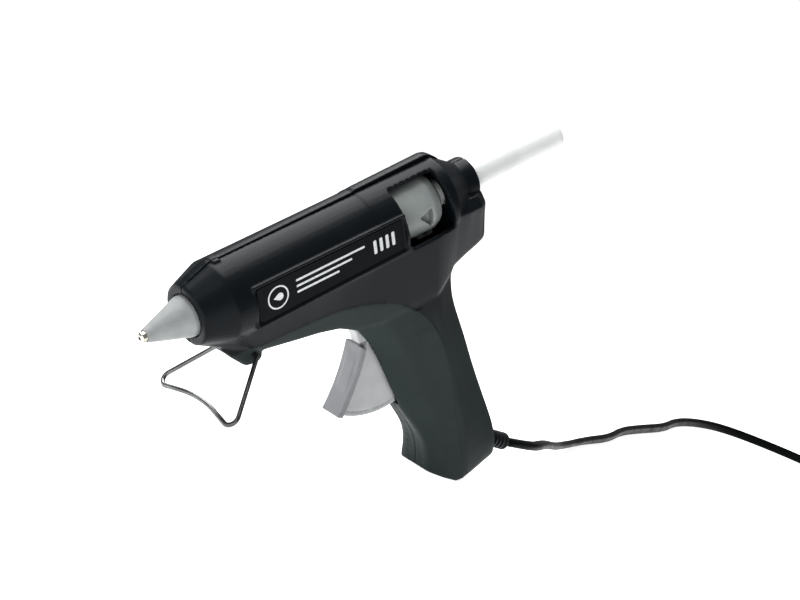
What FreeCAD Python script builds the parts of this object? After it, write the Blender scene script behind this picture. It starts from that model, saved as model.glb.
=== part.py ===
# A mains glue gun for 12 mm glue sticks, standing on its wire stand, with its cord and plug.
#
# Everything on the gun is drawn along the barrel: x runs back from the nozzle tip, y to the gun's
# right and z up, square to the barrel. The placement "standing" then tips the gun nose down until
# it rests on the feet of the wire stand and on the front facet of the grip's base. The cord, its
# coil and the plug lie on the floor and are drawn in the standing frame.
import FreeCAD, Part
import math
import os
import Sketcher

V = FreeCAD.Vector
doc = FreeCAD.newDocument("GlueGun")
sheet = doc.addObject("Spreadsheet::Sheet", "Dims")

DIMENSIONS = {
    "stick_radius": 6.0,
    "stick_front": 53.0,
    "stick_back": 222.7,
    "bore_radius": 6.2,
    "guide_radius": 6.5,
    "barrel_radius": 18.4,
    "barrel_back": 153.0,
    "ring_front": 22.85,
    "ring_radius": 13.84,
    "ring_opening": 9.5,
    "cone_back": 37.0,
    "collar_radius": 10.0,
    "collar_back": 171.7,
    "wall_depth": 2.2,
    "cavity_radius": 15.8,
    "nozzle_radius": 5.9,
    "nozzle_shoulder": 30.0,
    "chamber_front": 34.0,
    "chamber_back": 80.0,
    "chamber_radius": 10.5,
    "sleeve_back": 95.0,
    "carriage_front": 112.5,
    "carriage_back": 150.0,
    "carriage_radius": 13.4,
    "trigger_pivot_x": 112.5,
    "trigger_pivot_z": -48.0,
    "sector_radius": 40.0,
    "sector_depth": 6.0,
    "pad_depth": 12.0,
    "arm_reach": 38.2,
    "drive_pin_x": 120.0,
    "drive_pin_z": -12.0,
    "drive_pin_radius": 2.0,
    "claw_pin_x": 143.0,
    "claw_pin_z": -11.8,
    "claw_pin_radius": 1.5,
    "trigger_pin_radius": 2.0,
    "trigger_pin_length": 16.0,
    "running_gap": 0.06,
    "stand_pivot_x": 47.7,
    "stand_pivot_z": -27.0,
    "stand_foot_x": 20.3,
    "stand_foot_z": -41.7,
    "stand_half_span": 28.6,
    "stand_wire_radius": 1.0,
    "screw_radius": 1.3,
    "screw_head_radius": 2.5,
    "cord_diameter": 5.4,
    "coil_mid_radius": 30.0,
    "rest_tilt": 38.0,
    "origin_behind_tip": 112.8,
}
for row, (alias, number) in enumerate(DIMENSIONS.items(), start=1):
    sheet.set(f"A{row}", alias)
    sheet.set(f"B{row}", str(number))
    sheet.setAlias(f"B{row}", alias)
doc.recompute()


class Size:
    """A length with the spreadsheet expression that gives it."""

    def __init__(self, value, text):
        self.value = value
        self.text = text

    def __add__(self, other):
        other = size(other)
        return Size(self.value + other.value, f"({self.text} + {other.text})")

    def __sub__(self, other):
        other = size(other)
        return Size(self.value - other.value, f"({self.text} - {other.text})")

    def __neg__(self):
        return Size(-self.value, f"-({self.text})")


def size(of):
    """A Size from a Size, a number, or the name of a spreadsheet cell."""
    if isinstance(of, Size):
        return of
    if isinstance(of, str):
        return Size(float(sheet.get(of)), f"Dims.{of}")
    return Size(float(of), str(float(of)))


def mm(of):
    return size(of).value


TILT = mm("rest_tilt")
LEAN = math.radians(TILT)
# The feet of the wire stand touch the floor, which gives the height of the nozzle tip.
TIP_HEIGHT = (
    mm("stand_wire_radius")
    - math.sin(LEAN) * mm("stand_foot_x")
    - math.cos(LEAN) * mm("stand_foot_z")
)
standing = FreeCAD.Placement(
    V(-mm("origin_behind_tip"), 0, TIP_HEIGHT), FreeCAD.Rotation(V(0, 1, 0), -TILT)
)
pieces = []


def keep(piece, name, place=standing):
    """Name a finished piece, put it in its place and list it for writing."""
    piece.Label = name
    piece.Placement = place
    pieces.append(piece)
    return piece


def keep_shape(name, shape, place=standing):
    """A piece whose shape is worked out by this file's own functions."""
    piece = doc.addObject("Part::Feature", name)
    piece.Shape = shape
    return keep(piece, name, place)


# ---------------------------------------------------------------- sketches and bodies
def plane_of(body, role):
    return next(f for f in body.Origin.OriginFeatures if f.Role == role)


def polygon(body, name, role, corners, lift=0.0):
    """A closed sketch of straight sides, each corner held by two dimensions."""
    sketch = body.newObject("Sketcher::SketchObject", name)
    sketch.AttachmentSupport = [(plane_of(body, role), "")]
    sketch.MapMode = "FlatFace"
    sketch.AttachmentOffset = FreeCAD.Placement(V(0, 0, lift), FreeCAD.Rotation())
    corners = [(size(a), size(b)) for a, b in corners]
    count = len(corners)
    for k in range(count):
        (a, b), (c, d) = corners[k], corners[(k + 1) % count]
        sketch.addGeometry(Part.LineSegment(V(a.value, b.value, 0), V(c.value, d.value, 0)))
    for k in range(count):
        sketch.addConstraint(Sketcher.Constraint("Coincident", k, 2, (k + 1) % count, 1))
    for k, (a, b) in enumerate(corners):
        for kind, along, axis in (("DistanceX", a, -2), ("DistanceY", b, -1)):
            if along.value == 0:
                sketch.addConstraint(Sketcher.Constraint("PointOnObject", k, 1, axis))
                continue
            row = sketch.addConstraint(Sketcher.Constraint(kind, -1, 1, k, 1, along.value))
            if "Dims" in along.text:
                sketch.setExpression(f"Constraints[{row}]", along.text)
    return sketch


def circle(body, name, role, radius, at=(0, 0), lift=0.0):
    sketch = body.newObject("Sketcher::SketchObject", name)
    sketch.AttachmentSupport = [(plane_of(body, role), "")]
    sketch.MapMode = "FlatFace"
    sketch.AttachmentOffset = FreeCAD.Placement(V(0, 0, lift), FreeCAD.Rotation())
    radius, across, up = size(radius), size(at[0]), size(at[1])
    sketch.addGeometry(Part.Circle(V(across.value, up.value, 0), V(0, 0, 1), radius.value))
    row = sketch.addConstraint(Sketcher.Constraint("Radius", 0, radius.value))
    if "Dims" in radius.text:
        sketch.setExpression(f"Constraints[{row}]", radius.text)
    for kind, along, axis in (("DistanceX", across, -2), ("DistanceY", up, -1)):
        if along.value == 0:
            sketch.addConstraint(Sketcher.Constraint("PointOnObject", 0, 3, axis))
            continue
        row = sketch.addConstraint(Sketcher.Constraint(kind, -1, 1, 0, 3, along.value))
        if "Dims" in along.text:
            sketch.setExpression(f"Constraints[{row}]", along.text)
    return sketch


def new_body(name):
    return doc.addObject("PartDesign::Body", name)


def turned(name, corners):
    """A body turned about the barrel axis from a half section of (x, radius) corners."""
    body = new_body(name)
    sketch = polygon(body, name + "_section", "XZ_Plane", corners)
    turn = body.newObject("PartDesign::Revolution", name + "_turn")
    turn.Profile = sketch
    turn.ReferenceAxis = (sketch, ["H_Axis"])
    turn.Angle = 360
    return body


def add_pad(body, sketch, length, midplane=False):
    pad = body.newObject("PartDesign::Pad", sketch.Name + "_pad")
    pad.Profile = sketch
    pad.Length = mm(length)
    pad.setExpression("Length", size(length).text)
    pad.SideType = "Symmetric" if midplane else "One side"
    return pad


def add_pocket(body, sketch, length, midplane=True, backwards=False):
    pocket = body.newObject("PartDesign::Pocket", sketch.Name + "_pocket")
    pocket.Profile = sketch
    pocket.Length = mm(length)
    pocket.SideType = "Symmetric" if midplane else "One side"
    pocket.Reversed = backwards
    return pocket


# ---------------------------------------------------------------- shapes by function
def box(x0, x1, y0, y1, z0, z1):
    return Part.makeBox(x1 - x0, y1 - y0, z1 - z0, V(x0, y0, z0))


def across(x, z, radius, y0, y1):
    """A cylinder that runs across the gun, along y."""
    return Part.makeCylinder(radius, y1 - y0, V(x, y0, z), V(0, 1, 0))


def rounded(points, radii):
    """A closed wire through points, each corner rounded by its own radius."""
    count = len(points)
    ends = []
    for k in range(count):
        before, here, after = points[k - 1], points[k], points[(k + 1) % count]
        u = (before - here).normalize()
        v = (after - here).normalize()
        half = u.getAngle(v) / 2
        back = radii[k] / math.tan(half)
        middle = here + (u + v).normalize() * (radii[k] / math.sin(half) - radii[k])
        ends.append((here + u * back, middle, here + v * back))
    edges = []
    for k in range(count):
        enter, middle, leave = ends[k]
        edges.append(Part.Arc(enter, middle, leave).toShape())
        edges.append(Part.LineSegment(leave, ends[(k + 1) % count][0]).toShape())
    return Part.Wire(edges)


def side_prism(corners, y0, y1, radius=0.0):
    """A solid whose side view is the (x, z) corners, from y0 to y1."""
    points = [V(x, y0, z) for x, z in corners]
    wire = Part.makePolygon(points + points[:1])
    if radius:
        wire = rounded(points, [radius] * len(points))
    return Part.Face(wire).extrude(V(0, y1 - y0, 0))


def revolve_barrel(corners):
    points = [V(x, 0, r) for x, r in corners]
    face = Part.Face(Part.makePolygon(points + points[:1]))
    return face.revolve(V(0, 0, 0), V(1, 0, 0), 360)


def keel_wire(x, top, half_top, bottom, half_bottom, inset):
    """One slice across the part of the housing below the barrel, a trapezium with round corners."""
    half_top, half_bottom, bottom = half_top - inset, half_bottom - inset, bottom + inset
    crown = top + 4.0
    points = [
        V(x, -half_top, top),
        V(x, -half_bottom, bottom),
        V(x, half_bottom, bottom),
        V(x, half_top, top),
        V(x, 0.8 * half_top, crown),
        V(x, -0.8 * half_top, crown),
    ]
    return rounded(points, [2.0, 3.0, 3.0, 2.0, 1.0, 1.0])


def grip_wire(z, front, half_front, cheek, half, shoulder, back, half_back, inset):
    """One level slice of the grip: a narrow front, two flat cheeks and a faceted back."""
    front, back = front + inset, back - inset
    half_front, half, half_back = half_front - inset * 0.7, half - inset, half_back - inset * 0.7
    side = [(front, half_front), (cheek, half), (shoulder, half), (back, half_back)]
    points = [V(x, y, z) for x, y in side] + [V(x, -y, z) for x, y in reversed(side)]
    radii = [2.2, 4.5, 9.0, 2.6, 2.6, 9.0, 4.5, 2.2]
    return rounded(points, radii)


# x, level where the side turns in, half width there, bottom level, half width at the bottom
KEEL = (
    (24.6, -3.0, 12.4, -12.7, 7.4),
    (37.0, -4.0, 17.0, -19.8, 8.4),
    (50.7, -4.0, 17.7, -26.6, 9.0),
    (66.0, -4.0, 17.7, -29.4, 9.4),
    (80.0, -4.0, 17.7, -31.7, 10.0),
    (90.0, -4.0, 17.6, -34.0, 10.8),
    (98.4, -4.0, 17.6, -38.4, 11.8),
    (110.0, -4.0, 17.6, -40.4, 13.0),
    (141.0, -4.0, 17.6, -40.4, 13.0),
    (153.0, -4.0, 17.4, -36.0, 8.4),
)
TAIL = (
    (150.0, -4.0, 17.4, -34.8, 9.0),
    (160.0, -5.2, 16.6, -31.2, 8.6),
    (168.0, -6.6, 14.6, -29.2, 8.2),
    (172.0, -7.6, 11.6, -28.4, 7.6),
    (173.6, -8.4, 8.6, -27.9, 6.6),
)
# z, front, half width in front, start of the cheek, half width, end of the cheek, back, half back
GRIP = (
    (-20.0, 99.0, 7.6, 110.0, 13.2, 141.0, 157.0, 6.8),
    (-36.0, 98.6, 7.0, 110.6, 13.0, 141.0, 154.6, 6.0),
    (-50.0, 106.2, 5.6, 116.0, 12.6, 141.0, 154.6, 5.0),
    (-65.0, 111.8, 5.0, 121.5, 12.2, 142.0, 157.5, 4.6),
    (-82.7, 116.8, 4.8, 126.5, 12.0, 144.6, 160.8, 4.6),
    (-100.0, 123.8, 6.0, 132.0, 12.2, 146.8, 164.2, 4.8),
    (-115.4, 128.4, 8.6, 134.0, 12.8, 147.5, 167.4, 5.4),
    (-127.0, 126.6, 10.0, 133.0, 13.4, 146.0, 168.8, 6.2),
    (-141.0, 126.6, 10.4, 133.0, 13.4, 144.0, 164.6, 6.2),
)
FACET_BACK = 139.2
BASE_BACK = (176.0, -138.9)


def floor_line(x):
    """The level, at x along the barrel, of the floor that the standing gun rests on."""
    return -(TIP_HEIGHT + math.sin(LEAN) * x) / math.cos(LEAN)


def under_base(inset):
    """What is cut away below the grip's base: the facet that rests on the floor, and the flat behind."""
    corners = [
        (100.0, floor_line(100.0) + inset),
        (FACET_BACK, floor_line(FACET_BACK) + inset),
        (BASE_BACK[0], BASE_BACK[1] + inset),
        (176.0, -180.0),
        (100.0, -180.0),
    ]
    return side_prism(corners, -30, 30)


def grip_solid(inset):
    wires = [grip_wire(*row, inset) for row in GRIP]
    return Part.makeLoft(wires, True, False).cut(under_base(inset))


def keel_solid(rows, inset):
    return Part.makeLoft([keel_wire(*row, inset) for row in rows], True, True)


def outer_solid():
    radius, ring = mm("barrel_radius"), mm("ring_radius")
    front, cone, back = mm("ring_front"), mm("cone_back"), mm("barrel_back")
    collar = mm("collar_radius")
    barrel = revolve_barrel(
        [
            (front, 0),
            (front, ring - 1.2),
            (front + 0.5, ring - 0.3),
            (front + 1.4, ring),
            (cone, radius),
            (112.0, radius - 0.4),
            (112.6, radius - 0.1),
            (back, radius - 0.2),
            (165.0, collar),
            (mm("collar_back") - 0.6, collar),
            (mm("collar_back"), collar - 0.6),
            (mm("collar_back"), 0),
        ]
    )
    web = side_prism(
        [(150.0, -20.0), (172.0, -26.8), (171.8, -28.4), (162.5, -30.8), (157.2, -33.6),
         (153.6, -38.5), (153.0, -47.0), (140.0, -47.0)],
        -6.4, 6.4,
    )
    wedge = side_prism(
        [(33.6, -16.0), (32.4, -18.6), (43.0, -30.6), (46.0, -31.2), (50.0, -31.2), (51.6, -29.6),
         (51.6, -20.0)],
        -8.0, 8.0,
    )
    solid = barrel.fuse([keel_solid(KEEL, 0), keel_solid(TAIL, 0), grip_solid(0), web, wedge])
    return solid.fuse(top_ridge(radius)).removeSplitter()


def top_ridge(radius):
    """The right half stands proud along the top joint, more so behind a step, with a pip in front."""
    start, stop = 27.0, 158.0
    ring = revolve_barrel(
        [(start, radius - 4.0), (start, radius - 3.2), (37.0, radius + 0.5), (111.6, radius + 0.7),
         (112.8, radius + 1.2), (150.6, radius + 1.7), (153.4, radius + 1.0), (stop, radius - 3.0),
         (stop, radius - 4.0)]
    )
    ridge = ring.common(box(start, stop, 0.0, 5.2, 0.0, 30.0))
    pip = revolve_barrel(
        [(37.6, radius - 2.0), (38.4, radius + 0.9), (41.6, radius + 0.9), (42.6, radius - 2.0)]
    )
    return [ridge, pip.common(box(37.0, 43.0, -2.4, 4.6, 0.0, 30.0))]


def cavity_solid():
    wall, radius, back = mm("wall_depth"), mm("cavity_radius"), mm("barrel_back")
    barrel = revolve_barrel(
        [(25.7, 0), (25.7, 12.2), (30.0, 13.2), (38.0, radius), (back, radius), (back, 0)]
    )
    keel_rows = [(32.0, -3.5, 14.6, -16.6, 8.0)] + list(KEEL[1:])
    return barrel.fuse([keel_solid(keel_rows, wall), grip_solid(wall)])


SCREWS = ((41.6, -25.2), (84.0, -28.2), (163.0, -16.0), (146.0, -38.5), (134.0, -101.0), (139.0, -125.0))
RIBS = (46.2, 73.2)


def label_seat():
    """Side view of the flat that carries a label, slightly taper with the barrel."""
    return [(45.5, 9.4), (125.6, 8.9), (125.6, -8.8), (45.5, -10.5)]


def housing():
    """Both halves of the housing in one, with the screw bosses, ribs and pin seats inside."""
    outer, cavity = outer_solid(), cavity_solid()
    inside = []
    for x, z in SCREWS:
        inside.append(across(x, z, 3.1, -20, 20))
    pivot_x, pivot_z = mm("trigger_pivot_x"), mm("trigger_pivot_z")
    for side in (-1, 1):
        y0, y1 = sorted((side * 4.2, side * 20))
        inside.append(across(pivot_x, pivot_z, 4.4, y0, y1))
    for x in RIBS:
        rib = box(x, x + 2.0, -20, 20, -40, 20)
        hole = Part.makeCylinder(mm("chamber_radius") + 0.1, 4, V(x - 1, 0, 0), V(1, 0, 0))
        heater_room = box(x - 1, x + 3, -9.2, 9.2, -21, 0)
        inside.append(rib.cut(hole.fuse(heater_room)))
    inside.append(across(138.5, -30.0, 2.0, -20, 20))
    added = inside[0].fuse(inside[1:]).common(outer)
    shell = outer.cut(cavity).fuse(added)
    opening = Part.makeCylinder(mm("ring_opening"), 6, V(21, 0, 0), V(1, 0, 0))
    guide = Part.makeCylinder(mm("guide_radius"), 24, V(151, 0, 0), V(1, 0, 0))
    flare = Part.makeCone(mm("guide_radius") + 1.6, mm("guide_radius"), 1.6, V(152.9, 0, 0), V(1, 0, 0))
    reach = mm("sector_radius") + 2.0
    mouth = across(pivot_x, pivot_z, reach, -4.2, 4.2)
    mouth = mouth.common(box(60, 128, -5, 5, -100, -43))
    half_pin = mm("trigger_pin_length") / 2
    pivot_hole = across(
        pivot_x, pivot_z, mm("trigger_pin_radius") + 0.02, -half_pin - 0.1, half_pin + 0.1
    )
    stand_hole = across(
        mm("stand_pivot_x"), mm("stand_pivot_z"), mm("stand_wire_radius") + mm("running_gap"), -9, 9
    )
    cuts = [opening, guide, flare, mouth, pivot_hole, stand_hole]
    for x, z in SCREWS:
        cuts.append(across(x, z, mm("screw_radius"), -6.0, 20))
        cuts.append(across(x, z, mm("screw_head_radius") + 0.2, 5.6, 22))
    gland_at, along = gland_axis()
    cuts.append(Part.makeCylinder(3.6, 12, gland_at - along * 4, along))
    cuts.append(Part.makeCylinder(5.7, 2.4, gland_at - along * 4.7, along))
    cuts.append(Part.makeCylinder(4.4, 8.0, gland_at + along * 1.8, along))
    shell = shell.cut(cuts[0].fuse(cuts[1:]))
    seat = label_seat()
    for side in (-1, 1):
        y0, y1 = sorted((side * 16.1, side * 22))
        frame0, frame1 = sorted((side * 12.5, side * 17.2))
        frame = side_prism(seat, frame0, frame1)
        inner = side_prism([(x + (1.2 if x < 80 else -1.2), z * 0.88) for x, z in seat], y0, y1)
        shell = shell.fuse(frame.cut(cavity)).cut(inner)
    window = side_prism(
        [(124.6, 16.8), (148.2, 16.8), (149.2, 5.0), (151.0, -6.0), (151.2, -9.2), (128.4, -9.2),
         (126.2, -6.4)],
        -22, -6, 0.5,
    )
    return shell.cut(window)


def gland_axis():
    """Where the cord leaves the grip, and the way it leaves: level and rearward when standing."""
    tilt = math.radians(TILT)
    return V(166.9, 0, -131.7), V(math.cos(tilt), 0, -math.sin(tilt))


def make_shells():
    shell = housing()
    for name, y0, y1 in (("left_shell", -40, 0), ("right_shell", 0, 40)):
        half = shell.common(box(-10, 240, y0, y1, -160, 60))
        solids = sorted(half.Solids, key=lambda s: -s.Volume)
        keep_shape(name, solids[0])
    screws, seat = [], 5.6
    for x, z in SCREWS:
        shank = across(x, z, mm("screw_radius") - 0.02, -5.8, seat)
        head = across(x, z, mm("screw_head_radius"), seat, seat + 1.8)
        head = head.cut(box(x - 0.35, x + 0.35, seat + 0.9, seat + 3, z - 1.6, z + 1.6))
        head = head.cut(box(x - 1.6, x + 1.6, seat + 0.9, seat + 3, z - 0.35, z + 0.35))
        screws.append(shank.fuse(head))
    keep_shape("shell_screws", Part.makeCompound(screws))


def make_labels():
    for name, side in (("label_left", -1), ("label_right", 1)):
        y0, y1 = sorted((side * 16.1, side * 16.5))
        body = new_body(name)
        sketch = polygon(
            body, name + "_outline", "XZ_Plane",
            [(47.0, 7.9), (124.0, 7.5), (124.0, -7.4), (47.0, -8.9)], lift=-y1,
        )
        add_pad(body, sketch, 0.4)
        keep(body, name)


def make_heater():
    nozzle_back = size("chamber_front") + 6.0
    keep(
        turned(
            "nozzle",
            [(0, 0.9), (0, 1.7), (0.7, 2.3), (3.0, 2.4), (16.0, "nozzle_radius"),
             ("nozzle_shoulder", "nozzle_radius"), ("nozzle_shoulder", 8.0), ("chamber_front", 8.0),
             ("chamber_front", 5.0), (nozzle_back, 5.0), (nozzle_back, 3.0), (28.0, 3.0), (28.0, 1.4),
             (24.3, 1.4), (23.0, 2.7), (9.0, 2.7), (7.4, 0.9)],
        ),
        "nozzle",
    )
    keep(
        turned(
            "nozzle_sleeve",
            [(2.6, 2.52), (2.6, 3.0), (22.0, 9.1), (25.8, 9.1), (25.8, 12.0), (28.8, 12.0),
             (28.8, 6.05), (16.0, 6.05)],
        ),
        "nozzle_sleeve",
    )
    chamber = turned(
        "melt_chamber",
        [("chamber_front", 5.05), ("chamber_front", "chamber_radius"), (43.0, "chamber_radius"),
         (43.0, 12.4), (46.0, 12.4), (46.0, "chamber_radius"), ("chamber_back", "chamber_radius"),
         ("chamber_back", "bore_radius"), (40.4, "bore_radius"), (40.4, 5.05)],
    )
    lug = polygon(
        chamber, "lug_outline", "XZ_Plane", [(48.5, -8.0), (72.5, -8.0), (72.5, -19.6), (48.5, -19.6)]
    )
    add_pad(chamber, lug, 17.0, midplane=True)
    slot = polygon(
        chamber, "slot_outline", "XZ_Plane",
        [(47.0, -13.1), (74.0, -13.1), (74.0, -17.2), (47.0, -17.2)],
    )
    add_pocket(chamber, slot, 13.0)
    keep(chamber, "melt_chamber")
    heater = doc.addObject("Part::Box", "ptc_heater")
    heater.Length, heater.Width, heater.Height = 20.0, 10.4, 2.0
    heater.Placement.Base = V(50.5, -5.2, -15.9)
    keep_moved(heater, "ptc_heater")
    electrodes = []
    for level, tab in ((-13.9, 1), (-16.4, -1)):
        plate = box(50.0, 71.0, -5.4, 5.4, level, level + 0.5)
        y0, y1 = sorted((tab * 2.0, tab * 5.0))
        electrodes.append(plate.fuse(box(71.0, 79.0, y0, y1, level, level + 0.5)))
    keep_shape("electrodes", Part.makeCompound(electrodes))
    wrap = box(49.4, 71.6, -6.3, 6.3, -16.7, -13.1)
    keep_shape("heater_film", wrap.cut(box(49.0, 72.0, -6.0, 6.0, -16.4, -13.4)))
    keep_shape("heater_spring", box(51.0, 70.0, -5.6, 5.6, -17.2, -16.7))
    keep(
        turned(
            "inlet_sleeve",
            [(77.0, 10.55), (77.0, 12.2), (84.0, 12.2), ("sleeve_back", 8.6), ("sleeve_back", 6.3),
             (80.3, 6.3), (80.3, 10.55)],
        ),
        "inlet_sleeve",
    )
    band = revolve_barrel([(77.1, 12.25), (77.1, 13.0), (78.9, 13.0), (78.9, 12.25)])
    ear = box(77.1, 78.9, -2.2, 2.2, 12.6, 15.0).cut(box(77, 79, -0.5, 0.5, 13.2, 16))
    keep_shape("sleeve_clip", band.fuse(ear))


def keep_moved(piece, name):
    """Keep a primitive that already has a place in the gun's own frame."""
    return keep(piece, name, standing.multiply(piece.Placement))


def coil_spring(start, along, length, mean_radius, wire_radius, turns):
    """A helical spring whose axis leaves start in the direction along."""
    helix = Part.makeHelix(length / turns, length, mean_radius)
    section = Part.Wire(Part.Circle(V(mean_radius, 0, 0), V(0, 1, 0), wire_radius).toShape())
    spring = Part.Wire(helix.Edges).makePipeShell([section], True, True)
    spring.Placement = FreeCAD.Placement(start, FreeCAD.Rotation(V(0, 0, 1), along))
    return Part.makeCompound([spring])


def make_valve():
    ball = doc.addObject("Part::Sphere", "valve_ball")
    ball.Radius = 2.4
    ball.Placement.Base = V(22.0, 0, 0)
    keep_moved(ball, "valve_ball")
    keep_shape("valve_spring", coil_spring(V(9.6, 0, 0), V(1, 0, 0), 9.6, 1.9, 0.3, 6))


def make_carriage():
    body = turned(
        "feed_carriage",
        [("carriage_front", 6.9), ("carriage_front", 12.4), (113.5, "carriage_radius"),
         (144.0, "carriage_radius"), (148.0, 12.0), ("carriage_back", 9.6), ("carriage_back", 6.9)],
    )
    under = polygon(body, "under", "YZ_Plane", [(-15, -8.9), (15, -8.9), (15, -16), (-15, -16)], 110.0)
    add_pocket(body, under, 45.0, midplane=False, backwards=True)
    lug = polygon(
        body, "drive_lug", "XZ_Plane", [(114.5, -8.5), (125.5, -8.5), (125.5, -15.2), (114.5, -15.2)]
    )
    add_pad(body, lug, 12.0, midplane=True)
    claw_lug = polygon(
        body, "claw_lug", "XZ_Plane", [(138.8, -8.5), (147.0, -8.5), (147.0, -14.6), (138.8, -14.6)]
    )
    add_pad(body, claw_lug, 11.0, midplane=True)
    gap = polygon(
        body, "drive_gap", "XZ_Plane", [(114.0, -9.2), (126.0, -9.2), (126.0, -16), (114.0, -16)]
    )
    add_pocket(body, gap, 5.6)
    claw_gap = polygon(
        body, "claw_gap", "XZ_Plane", [(127.5, -5.5), (147.5, -5.5), (147.5, -16), (127.5, -16)]
    )
    add_pocket(body, claw_gap, 6.6)
    for name, radius, at in (
        ("drive_hole", "drive_pin_radius", ("drive_pin_x", "drive_pin_z")),
        ("claw_hole", "claw_pin_radius", ("claw_pin_x", "claw_pin_z")),
    ):
        add_pocket(body, circle(body, name, "XZ_Plane", radius, at), 20.0)
    for name, lift in (("left_pocket", 9.6), ("right_pocket", -14.6)):
        hollow = polygon(body, name, "XZ_Plane", [(135.4, 0.8), (142.4, 2.8), (142.4, -6.4)], lift)
        add_pocket(body, hollow, 5.0, midplane=False, backwards=True)
    keep(body, "feed_carriage")
    claw = new_body("gripper_claw")
    outline = polygon(
        claw, "claw_outline", "XZ_Plane",
        [(145.8, -9.6), (145.8, -14.0), (139.5, -14.4), (131.0, -12.0), (128.9, -9.0), (129.3, -7.6),
         (131.4, -9.0)],
    )
    add_pad(claw, outline, 5.8, midplane=True)
    hole = circle(
        claw, "claw_bore", "XZ_Plane", size("claw_pin_radius") + "running_gap",
        ("claw_pin_x", "claw_pin_z"),
    )
    add_pocket(claw, hole, 10.0)
    keep(claw, "gripper_claw")
    for name, radius, x, z, length in (
        ("drive_pin", "drive_pin_radius", "drive_pin_x", "drive_pin_z", 12.0),
        ("claw_pin", "claw_pin_radius", "claw_pin_x", "claw_pin_z", 11.0),
        ("trigger_pin", "trigger_pin_radius", "trigger_pivot_x", "trigger_pivot_z",
         "trigger_pin_length"),
    ):
        pin = new_body(name)
        add_pad(pin, circle(pin, name + "_end", "XZ_Plane", radius, (x, z)), length, midplane=True)
        keep(pin, name)


def make_trigger():
    x0, z0 = mm("trigger_pivot_x"), mm("trigger_pivot_z")
    pivot = V(x0, 0, z0)
    reach, half = mm("sector_radius"), mm("sector_depth") / 2

    def at(angle, radius):
        turn = math.radians(angle)
        return V(x0 + radius * math.cos(turn), -half, z0 + radius * math.sin(turn))

    start, stop = 231.5, 279.0
    rim = Part.Arc(at(start, reach), at((start + stop) / 2, reach), at(stop, reach)).toShape()
    top = V(102.2, -half, -43.6)
    sides = [at(stop, reach), V(x0 + 6.2, -half, z0 + 1.0), V(x0 + 1, -half, z0 + 5.4), top,
             V(103.6, -half, -51.0), at(start, reach)]
    edges = [Part.LineSegment(a, b).toShape() for a, b in zip(sides, sides[1:])]
    plate = Part.Face(Part.Wire([rim] + edges)).extrude(V(0, 2 * half, 0))
    groove = side_ring(pivot, reach - 2.8, reach - 2.0, half, start, stop)
    top_front, low_front = V(102.9, 0, -51.2), V(85.8, 0, -78.8)
    into = V(0.849, 0, -0.526)
    hollow = 1.6
    middle = (top_front + low_front) * 0.5 + into * hollow
    deep = mm("pad_depth") / 2
    shift = V(0, -deep, 0)
    face_front = Part.Arc(top_front + shift, middle + shift, low_front + shift).toShape()
    back_top, back_low = top_front + into * 2.8 + shift, low_front + into * 2.8 + shift
    back_middle = middle + into * 2.4 + shift
    pad_wire = Part.Wire(
        [face_front, Part.LineSegment(low_front + shift, back_low).toShape(),
         Part.Arc(back_low, back_middle, back_top).toShape(),
         Part.LineSegment(back_top, top_front + shift).toShape()]
    )
    pad = Part.Face(pad_wire).extrude(V(0, 2 * deep, 0))
    toward = V(mm("drive_pin_x") - x0, 0, mm("drive_pin_z") - z0).normalize()
    aside = V(-toward.z, 0, toward.x)
    arm_half, slot_half = 4.4, mm("drive_pin_radius") + 0.45
    reach_up = mm("arm_reach")

    def strip(width, low, high, depth):
        corners = [pivot + aside * a + toward * b for a, b in
                   ((-width, low), (width, low), (width, high), (-width, high))]
        return side_prism([(p.x, p.z) for p in corners], -depth, depth)

    arm = strip(arm_half, 0, reach_up, 2.4).cut(strip(slot_half, 33.6, reach_up + 2, 3))
    hub = across(x0, z0, 6.0, -4.0, 4.0)
    peg = across(*spring_peg(), 1.4, -3.0, 3.0)
    solid = plate.cut(groove).fuse([pad, arm, hub, peg])
    bore = across(x0, z0, mm("trigger_pin_radius") + mm("running_gap"), -8, 8)
    keep_shape("trigger", solid.cut(bore).removeSplitter())


def spring_peg():
    """Centre of the return spring's peg on the trigger arm, behind the arm."""
    return 121.0, -28.0


def side_ring(pivot, inner, outer, half, start, stop):
    """A shallow curved groove on both faces of the trigger's sector, near its rim."""
    ring = Part.makeCylinder(outer, 2 * half + 2, V(pivot.x, -half - 1, pivot.z), V(0, 1, 0))
    ring = ring.cut(Part.makeCylinder(inner, 2 * half + 2, V(pivot.x, -half - 1, pivot.z), V(0, 1, 0)))
    span = []
    for angle in (start + 4, (start + stop) / 2, stop + 20):
        turn = math.radians(angle)
        span.append((pivot.x + 70 * math.cos(turn), pivot.z + 70 * math.sin(turn)))
    slice_of = side_prism([(pivot.x, pivot.z)] + span, -half - 1, half + 1)
    return ring.common(slice_of).cut(box(0, 200, -half + 0.6, half - 0.6, -150, 50))


def make_return_spring():
    x, z = spring_peg()
    start = V(x + 2.2, 0, z - 0.2)
    end = V(135.6, 0, -29.8)
    along = end - start
    keep_shape("return_spring", coil_spring(start, along, along.Length, 2.2, 0.35, 9))


def bent_path(points, share=0.45):
    """Straight runs joined by tangent arcs, as large as their runs allow, and the arcs' radii."""
    edges, radii, last = [], [], points[0]
    for before, here, after in zip(points, points[1:], points[2:]):
        into, out = here - before, after - here
        room = share * min(into.Length, out.Length)
        turn = into.getAngle(out)
        radius = room / math.tan(turn / 2)
        enter = here - into.normalize() * room
        leave = here + out.normalize() * room
        toward = ((enter + leave) * 0.5 - here).normalize()
        middle = here + toward * (radius / math.cos(turn / 2) - radius)
        edges.append(Part.LineSegment(last, enter).toShape())
        edges.append(Part.Arc(enter, middle, leave).toShape())
        radii.append(radius)
        last = leave
    edges.append(Part.LineSegment(last, points[-1]).toShape())
    return Part.Wire(edges), radii


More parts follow.
